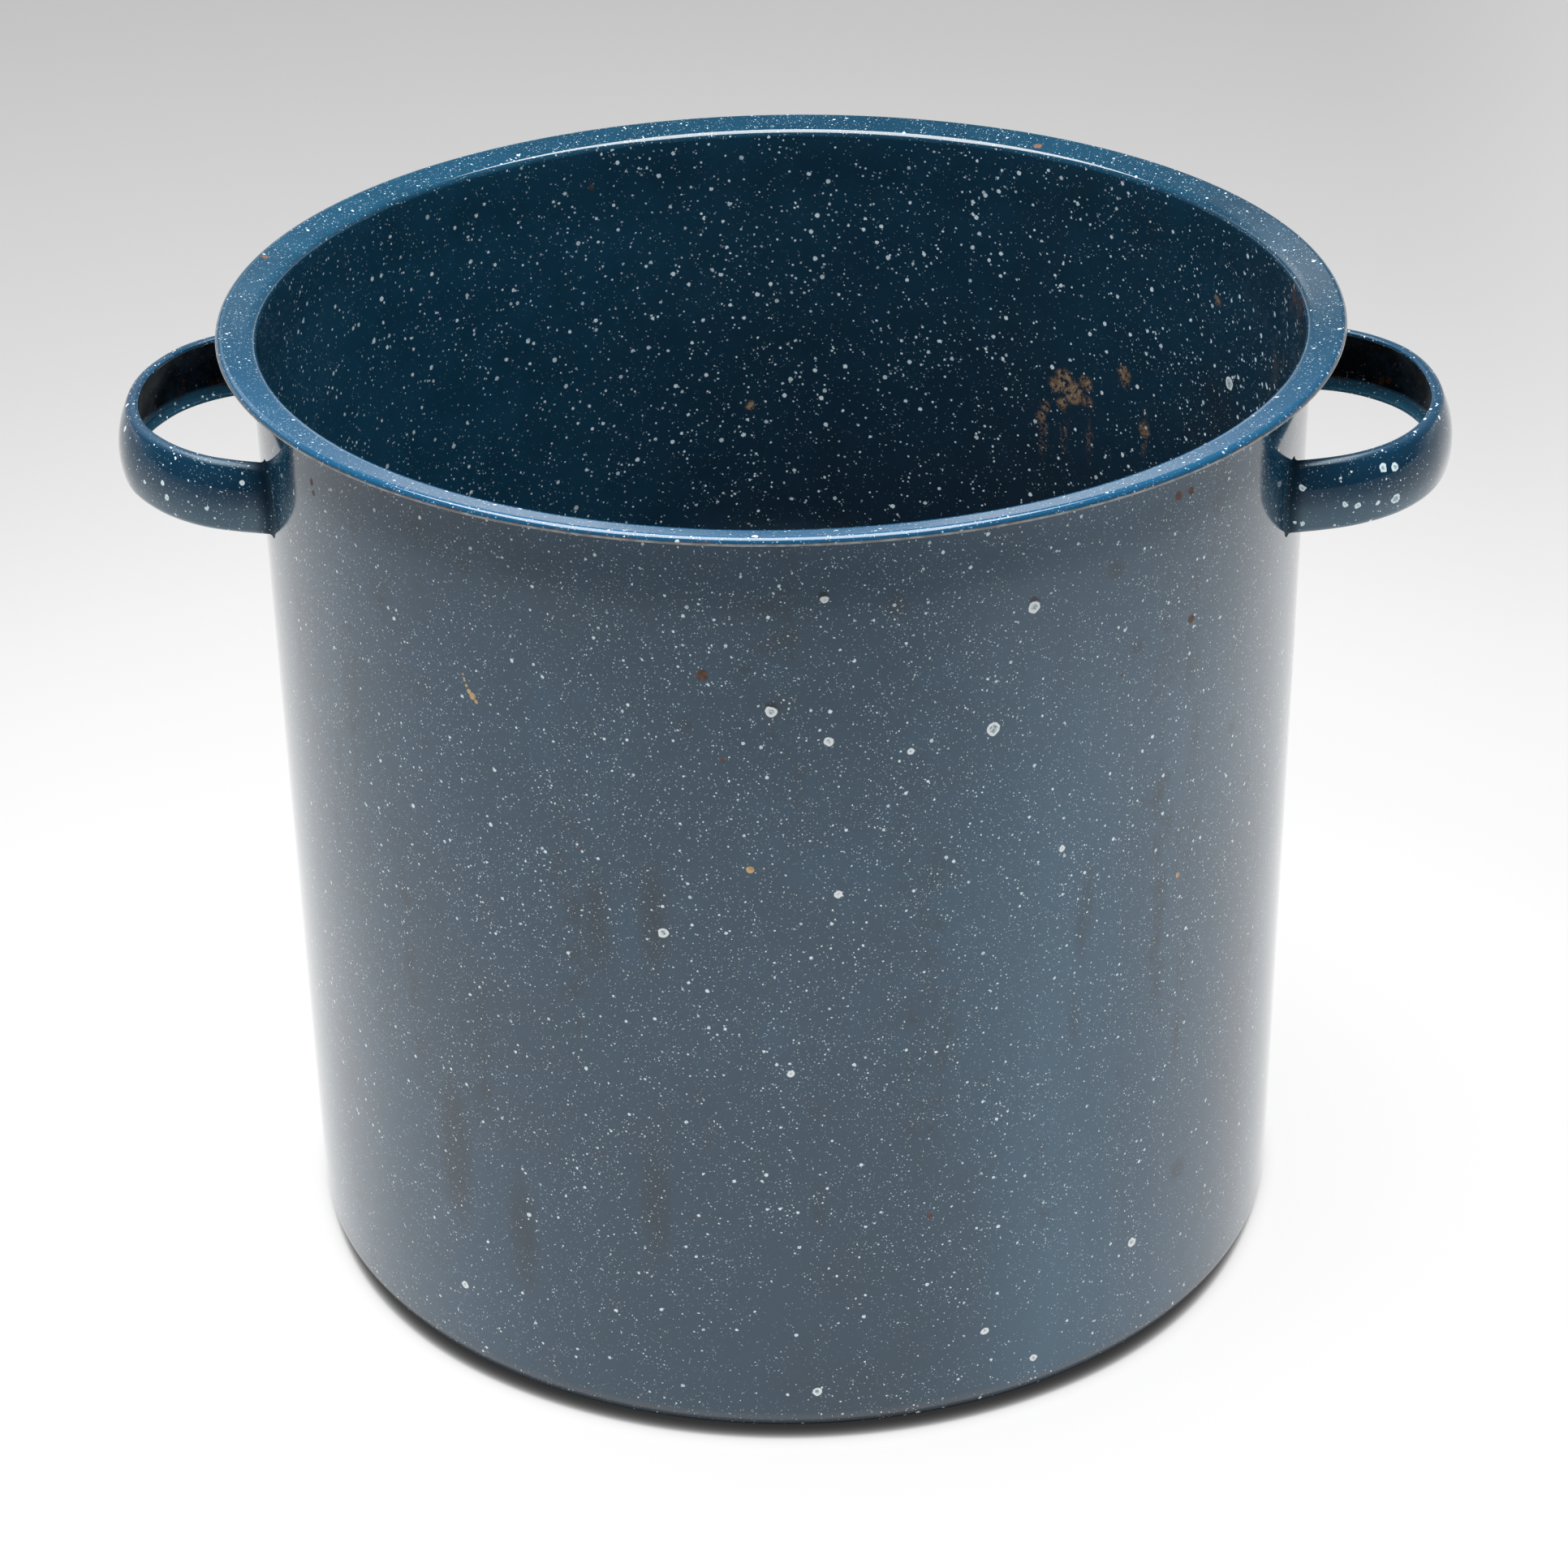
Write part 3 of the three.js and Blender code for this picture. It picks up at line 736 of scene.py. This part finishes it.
        # greyer and darker low on the front of the wall
        low_front_grey = t.math("MULTIPLY", t.ramp(z, 0.17, 0.06), t.ramp(t.math("ABSOLUTE", around), 0.60, 0.20))
        greying = t.math("MAXIMUM", greying, t.math("MULTIPLY", low_front_grey, 0.26))
        greying = t.math("MULTIPLY", greying, outside)
        blue = t.mix(greying, blue, (0.016, 0.020, 0.021))
        rough = t.math("ADD", rough, t.math("MULTIPLY", greying, 0.24))
        sheen = t.math("SUBTRACT", 1.0, t.math("MULTIPLY", greying, 0.35))

        # inside: painted shade, darker towards the right and low down with a brownish tint, and a thin brown film
        inner_shade = t.math("MULTIPLY", t.ramp(x, -0.17, 0.03), t.ramp(z, 0.34, 0.16, 0.45, 1.0))
        blue = t.mix(t.math("MULTIPLY", t.math("MULTIPLY", inner_shade, 0.66), inside), blue, (0.010, 0.005, 0.004))
        film = t.math("MULTIPLY", t.ramp(t.noise(coord, 14.0, 4.0, 0.6), 0.35, 0.75), t.ramp(x, 0.02, 0.17))
        film = t.math("MULTIPLY", film, inside)
        blue = t.mix(t.math("MULTIPLY", film, 0.55), blue, (0.020, 0.018, 0.015))

        # a deeper blue on the flange towards the back right
        deeper = t.ramp(t.math("ADD", x, t.math("MULTIPLY", y, 1.3)), -0.15, 0.25, 0.06, 0.34)
        blue = t.mix(t.math("MULTIPLY", deeper, flange), blue, (0.002, 0.006, 0.010))
        clearer = t.math("MULTIPLY", t.ramp(y, 0.02, -0.15), flange)
        blue = t.mix(t.math("MULTIPLY", clearer, 0.75), blue, (0.010, 0.082, 0.175))
        sheen = t.math("MULTIPLY", sheen, t.math("SUBTRACT", 1.0, t.math("MULTIPLY", clearer, 0.45)))

    if shell_marks:
        # the foot: a painted reflection of the bright floor in a pale band above the corner, and painted shade where it
        # turns under
        foot_floor_reflection = t.math("MULTIPLY", t.ramp(z, 0.0088, 0.0056), t.ramp(z, 0.0026, 0.0040))
        blue = t.mix(t.math("MULTIPLY", t.math("MULTIPLY", foot_floor_reflection, 0.55), outside), blue, (0.105, 0.110, 0.122))
        foot_shade = t.math("MULTIPLY", t.ramp(z, 0.0034, 0.0022), outside)
        blue = t.mix(t.math("MULTIPLY", foot_shade, 0.8), blue, (0.003, 0.012, 0.020))

    color = t.mix(speck, blue, (0.80, 0.94, 1.0))

    if shell_marks:
        # dark pits beside some blisters
        pits = t.ramp(t.spots(rag2, PITS), -0.0010, 0.0008)
        color = t.mix(t.math("MULTIPLY", pits, 0.92), color, (0.003, 0.010, 0.020))
        sheen = t.math("MULTIPLY", sheen, t.math("SUBTRACT", 1.0, t.math("MULTIPLY", pits, 0.7)))

        # cooking scale and its drips
        scale_spots = t.spots(ragged, [
            (0.1040, 0.1456, 0.2520, 0.0040), (0.1075, 0.1430, 0.2475, 0.0042), (0.1010, 0.1477, 0.2490, 0.0030),
            (0.1120, 0.1394, 0.2530, 0.0026), (0.1130, 0.1386, 0.2455, 0.0020), (0.1035, 0.1460, 0.2420, 0.0020),
            (0.1258, 0.1272, 0.2625, 0.0028), (0.1262, 0.1268, 0.2585, 0.0022), (0.1337, 0.1189, 0.2423, 0.0022),
            (0.0955, 0.1512, 0.2345, 0.0018), (0.1563, 0.0871, 0.3078, 0.0018), (0.0970, 0.1503, 0.2390, 0.0016),
            (-0.0191, 0.1779, 0.2273, 0.0016),
        ])
        scale_mask = t.math("MULTIPLY", t.ramp(scale_spots, -0.0014, 0.0010), t.ramp(crumble, 0.43, 0.53))
        scale_mask = t.math("MULTIPLY", scale_mask, inside)
        tone = t.mix(t.ramp(t.noise(coord, 300.0, 2.0), 0.35, 0.65), (0.21, 0.125, 0.060), (0.40, 0.26, 0.14))
        color = t.mix(t.math("MULTIPLY", scale_mask, 0.88), color, tone)
        drip_pos = t.vec("MULTIPLY", ragged, (1.0, 1.0, 0.20))
        drips = t.spots(drip_pos, [
            (0.0965, 0.1506, 0.0456, 0.0020), (0.1045, 0.1452, 0.0462, 0.0016),
            (0.1140, 0.1380, 0.0460, 0.0015), (0.1337, 0.1189, 0.0482, 0.0018),
        ])
        drip_mask = t.math("MULTIPLY", t.ramp(drips, -0.0010, 0.0014), t.ramp(crumble, 0.46, 0.58))
        drip_mask = t.math("MULTIPLY", drip_mask, inside)
        color = t.mix(t.math("MULTIPLY", drip_mask, 0.6), color, (0.20, 0.125, 0.07))
        rough = t.math("ADD", rough, t.math("MULTIPLY", t.math("MAXIMUM", scale_mask, drip_mask), 0.4))
        # brown stain just under the rim at the right, inside
        stain = t.math("MULTIPLY", t.ramp(t.vec("DISTANCE", t.vec("MULTIPLY", ragged, (1.0, 0.35, 1.0)), (0.1785, 0.004, 0.3340)),
                                          0.010, 0.003), t.ramp(t.noise(coord, 160.0, 4.0, 0.7), 0.46, 0.62))
        color = t.mix(t.math("MULTIPLY", stain, 0.75), color, (0.16, 0.085, 0.04))

        # rust points, their tone varying in fine patches from dark to brighter brown
        rust = t.spots(rag2, RUST)
        rust_mask = t.ramp(rust, -0.0004, 0.0004)
        rust_tone = t.mix(t.ramp(t.noise(coord, 700.0, 3.0, 0.6), 0.35, 0.65), (0.045, 0.015, 0.008), (0.17, 0.062, 0.022))
        color = t.mix(t.math("MULTIPLY", rust_mask, 0.92), color, rust_tone)
        tan = t.ramp(t.spots(t.vec("ADD", coord, t.vec("SCALE", rag, scale=0.0006)), TAN), -0.0001, 0.0002)
        color = t.mix(tan, color, t.mix(t.ramp(crumble, 0.4, 0.6), (0.50, 0.31, 0.12), (0.74, 0.52, 0.26)))
        rough = t.math("ADD", rough, t.math("MULTIPLY", t.math("MAXIMUM", rust_mask, tan), 0.45))
        sheen = t.math("MULTIPLY", sheen, t.math("SUBTRACT", 1.0, t.math("MULTIPLY", t.math("MAXIMUM", rust_mask, tan), 0.7)))

        # blisters: a pale broken ring round a mottled grey middle
        chips = t.spots(rag2, CHIPS)
        chip_mask = t.ramp(chips, -0.0001, 0.0002)
        core = t.ramp(chips, 0.0007, 0.0012)
        mottle = t.ramp(t.noise(coord, 1100.0, 2.0, 0.6), 0.42, 0.58)
        core_color = t.mix(mottle, (0.20, 0.30, 0.34), (0.68, 0.80, 0.84))
        chip_color = t.mix(core, (0.90, 0.95, 0.96), core_color)
        color = t.mix(chip_mask, color, chip_color)
        relief = t.math("ADD", relief, t.math("MULTIPLY", t.math("SUBTRACT", chip_mask, t.math("MULTIPLY", core, 0.6)), 1.4))

        # worn edge of the rim: dark and brown patches on the curl, a grey line of bare sheet at the lip
        edge = t.math("MULTIPLY", t.ramp(radius, RIM_R - 0.0011, RIM_R - 0.0003),
                      t.ramp(z, HEIGHT - 0.0008, HEIGHT - 0.0016))
        wear = t.ramp(t.noise(coord, 60.0, 4.0, 0.7), 0.45, 0.62)
        edge_mask = t.math("MULTIPLY", edge, wear)
        edge_color = t.mix(t.ramp(t.noise(coord, 300.0, 2.0), 0.4, 0.6), (0.035, 0.022, 0.018), (0.16, 0.08, 0.05))
        color = t.mix(t.math("MULTIPLY", edge_mask, 0.85), color, edge_color)
        lip = t.math("MULTIPLY", t.ramp(z, HEIGHT - 0.00145, HEIGHT - 0.0017), t.math("GREATER_THAN", radius, RIM_R - 0.0015))
        lip = t.math("MULTIPLY", lip, t.math("GREATER_THAN", z, HEIGHT - 0.0040))
        lip_tone = t.mix(t.ramp(t.noise(coord, 220.0, 3.0), 0.40, 0.62), (0.36, 0.36, 0.35), (0.20, 0.185, 0.17))
        color = t.mix(t.math("MULTIPLY", lip, 0.90), color, lip_tone)
        rough = t.math("ADD", rough, t.math("MULTIPLY", t.math("MAXIMUM", edge_mask, lip), 0.30))

    if not shell_marks:
        ragged = t.vec("SUBTRACT", t.noise(coord, 520.0, 3.0, out="Color"), (0.5, 0.5, 0.5))
        flakes = t.spots(t.vec("ADD", coord, t.vec("SCALE", ragged, scale=0.0018)), FLAKES)
        flake_mask = t.ramp(flakes, -0.0001, 0.0001)
        core = t.math("MULTIPLY", t.ramp(flakes, 0.0006, 0.0010), 0.7)
        color = t.mix(flake_mask, color, t.mix(core, (0.80, 0.94, 1.0), (0.16, 0.28, 0.34)))
        relief = t.math("ADD", relief, t.math("MULTIPLY", flake_mask, 1.0))

    bump = t.node("ShaderNodeBump")
    bump.inputs["Strength"].default_value = 1.0
    bump.inputs["Distance"].default_value = 0.00005
    t.put(bump.inputs["Height"], relief)

    bsdf = t.node("ShaderNodeBsdfPrincipled")
    t.put(bsdf.inputs["Base Color"], color)
    t.put(bsdf.inputs["Roughness"], rough)
    bsdf.inputs["IOR"].default_value = 1.50
    if shell_marks:
        t.put(bsdf.inputs["Coat Weight"], t.math("MULTIPLY", sheen, 0.62))
    else:
        gloss = t.math("SUBTRACT", 1.0, t.math("MAXIMUM", shade_mask, t.math("MULTIPLY", dulled, 0.6)))
        t.put(bsdf.inputs["Coat Weight"], t.math("MULTIPLY", gloss, 0.62))
        t.put(bsdf.inputs["Specular IOR Level"], t.math("SUBTRACT", 0.5, t.math("MULTIPLY", shade_mask, 0.42)))
        bsdf.inputs["Specular Tint"].default_value = (0.70, 0.90, 1.0, 1.0)
    bsdf.inputs["Coat IOR"].default_value = 1.50
    t.put(bsdf.inputs["Coat Roughness"], rough)
    t.put(bsdf.inputs["Normal"], bump.outputs["Normal"])
    t.put(bsdf.inputs["Coat Normal"], bump.outputs["Normal"])
    out = t.node("ShaderNodeOutputMaterial")
    t.links.new(bsdf.outputs[0], out.inputs["Surface"])
    return t.mat


# ---- the object ----------------------------------------------------------------------------

shell_enamel = enamel("shell_enamel", 0)
handle_enamel = enamel("handle_enamel", 3, shell_marks=False)

for piece in shell():
    piece.data.materials.append(shell_enamel)
    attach(piece, "root")
    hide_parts("pot_body")

for name, side, seed in (("right_handle_strap", 1, 11), ("left_handle_strap", -1, 23)):
    piece = handle(name, side, seed)
    piece.data.materials.append(handle_enamel)
    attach(piece, "root")
    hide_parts("right_handle" if side > 0 else "left_handle")

# ---- floor, light --------------------------------------------------------------------------


def floor():
    """A glowing table top with its light painted in: pale, brightest around the pot, fading to grey further off, with a
    painted contact shadow.
    """
    size = 14.0
    ob = make_object("floor", [(-size, -size, 0), (size, -size, 0), (size, size, 0), (-size, size, 0)], [[0, 1, 2, 3]])
    t = Tree("floor")
    coord = t.node("ShaderNodeTexCoord").outputs["Object"]
    away = t.vec("DISTANCE", coord, (0.0, -0.12, 0.0))
    glow = t.node("ShaderNodeFloatCurve")
    curve = glow.mapping.curves[0]
    stops = [(0.0, 0.87), (0.35, 0.86), (0.45, 0.80), (0.60, 0.735), (0.74, 0.655), (0.91, 0.57),
             (1.02, 0.53), (1.28, 0.47), (1.62, 0.42), (2.2, 0.38), (4.0, 0.36)]
    curve.points[0].location = (0.0, stops[0][1])
    curve.points[1].location = (1.0, stops[-1][1])
    for d, v in stops[1:-1]:
        curve.points.new(d / 4.0, v)
    glow.mapping.update()
    t.put(glow.inputs["Value"], t.math("DIVIDE", away, 4.0, clamp=True))
    tone = t.ramp(t.noise(coord, 2.0, 2.0), 0.3, 0.7, 0.99, 1.0)
    # painted light: the table glows more strongly on its right side, outside the view
    tone = t.math("MULTIPLY", tone, t.ramp(t.xyz(coord)[0], 0.33, 0.62, 1.0, 1.28))
    # light lost under the base corner and just outside it
    out_r = t.vec("LENGTH", coord)
    # tighter at the sides than at the front
    out_r = t.math("ADD", out_r, t.ramp(t.xyz(coord)[1], -0.155, -0.040, 0.0, 0.0045))
    shade = t.node("ShaderNodeFloatCurve")
    curve = shade.mapping.curves[0]
    steps = [(0.1720, 0.035), (0.1772, 0.04), (0.1788, 0.055), (0.1804, 0.095), (0.1819, 0.22), (0.1832, 0.52),
             (0.1843, 0.84), (0.1860, 0.95), (0.1930, 1.0)]
    start, span = steps[0][0], steps[-1][0] - steps[0][0]
    curve.points[0].location, curve.points[1].location = (0.0, steps[0][1]), (1.0, steps[-1][1])
    for d, v in steps[1:-1]:
        curve.points.new((d - start) / span, v)
    shade.mapping.update()
    t.put(shade.inputs["Value"], t.math("DIVIDE", t.math("SUBTRACT", out_r, start), span, clamp=True))
    near = shade.outputs[0]
    # painted light: the glow falls off towards the front edge
    tone = t.math("MULTIPLY", tone, t.ramp(t.xyz(coord)[1], -0.50, -0.95, 1.0, 0.74))
    paint = t.node("ShaderNodeBsdfPrincipled")
    t.put(paint.inputs["Base Color"], t.mix(near, (0.0, 0.0, 0.0), (0.10, 0.10, 0.10)))
    paint.inputs["Roughness"].default_value = 0.9
    paint.inputs["Specular IOR Level"].default_value = 0.0
    paint.inputs["Emission Color"].default_value = (1, 1, 1, 1)
    t.put(paint.inputs["Emission Strength"], t.math("MULTIPLY", t.math("MULTIPLY", glow.outputs[0], tone), near))
    out = t.node("ShaderNodeOutputMaterial")
    t.links.new(paint.outputs[0], out.inputs["Surface"])
    ob.data.materials.append(t.mat)
    return ob


def area(name, place, aim, width, depth, radiance, glossy=True):
    data = bpy.data.lights.new(name, "AREA")
    data.shape = "RECTANGLE"
    data.size, data.size_y = width, depth
    data.energy = radiance * math.pi * width * depth
    ob = bpy.data.objects.new(name, data)
    ob.location = place
    ob.rotation_euler = (Vector(aim) - Vector(place)).to_track_quat("-Z", "Y").to_euler()
    ob.visible_camera = False
    ob.visible_glossy = glossy
    scene.collection.objects.link(ob)
    return ob


floor()
area("overhead_softbox", (-0.24, 0.06, 2.20), (-0.24, 0.06, 0.0), 2.06, 2.06, 9.5)
area("bounce_fill", (1.55, -1.65, 1.15), (0.0, 0.0, 0.15), 1.6, 1.3, 0.85, glossy=False)

world = bpy.data.worlds.new("studio")
world.use_nodes = True
scene.world = world
wn, wl = world.node_tree.nodes, world.node_tree.links
wn.clear()


def w_math(op, a, b, clamp=False):
    n = wn.new("ShaderNodeMath")
    n.operation, n.use_clamp = op, clamp
    for socket, v in zip(n.inputs, (a, b)):
        if isinstance(v, bpy.types.NodeSocket):
            wl.new(v, socket)
        else:
            socket.default_value = v
    return n.outputs[0]


def w_ramp(x, lo, hi):
    n = wn.new("ShaderNodeMapRange")
    n.interpolation_type = "SMOOTHSTEP"
    wl.new(x, n.inputs["Value"])
    n.inputs["From Min"].default_value, n.inputs["From Max"].default_value = lo, hi
    return n.outputs["Result"]


# a dim room with a pale backdrop rising behind the pot
w_split = wn.new("ShaderNodeSeparateXYZ")
wl.new(wn.new("ShaderNodeTexCoord").outputs["Generated"], w_split.inputs[0])
aloft = wn.new("ShaderNodeFloatCurve")
rise = aloft.mapping.curves[0]
levels = [(0.0, 0.72), (0.07, 0.62), (0.14, 0.28), (0.22, 0.11), (0.33, 0.07), (0.45, 0.05), (0.60, 0.03), (1.0, 0.0)]
rise.points[0].location, rise.points[1].location = levels[0], levels[-1]
for h, v in levels[1:-1]:
    rise.points.new(h, v)
aloft.mapping.update()
wl.new(w_math("MAXIMUM", w_split.outputs["Z"], 0.0), aloft.inputs["Value"])
behind = w_math("MULTIPLY", w_ramp(w_split.outputs["Y"], -0.10, 0.75), aloft.outputs[0])
# its left part is lit higher up
left_part = w_math("MULTIPLY", w_ramp(w_split.outputs["X"], 0.08, -0.20), w_ramp(w_split.outputs["Z"], 0.64, 0.36))
left_part = w_math("MULTIPLY", left_part, w_ramp(w_split.outputs["Y"], 0.10, 0.60))
left_part = w_math("MULTIPLY", left_part, w_ramp(w_split.outputs["Z"], 0.30, 0.46))
level = w_math("ADD", w_math("ADD", behind, w_math("MULTIPLY", left_part, 1.10)), 0.06)
path_info = wn.new("ShaderNodeLightPath")
dim, pale = wn.new("ShaderNodeBackground"), wn.new("ShaderNodeBackground")
wl.new(level, dim.inputs[1])
dim.inputs[0].default_value = (1, 1, 1, 1)
pale.inputs[0].default_value, pale.inputs[1].default_value = (0.52, 0.52, 0.53, 1), 1.0
pick, wout = wn.new("ShaderNodeMixShader"), wn.new("ShaderNodeOutputWorld")
wl.new(path_info.outputs["Is Camera Ray"], pick.inputs[0])
wl.new(dim.outputs[0], pick.inputs[1])
wl.new(pale.outputs[0], pick.inputs[2])
wl.new(pick.outputs[0], wout.inputs["Surface"])

scene.view_settings.view_transform = "Standard"
scene.view_settings.look = "None"
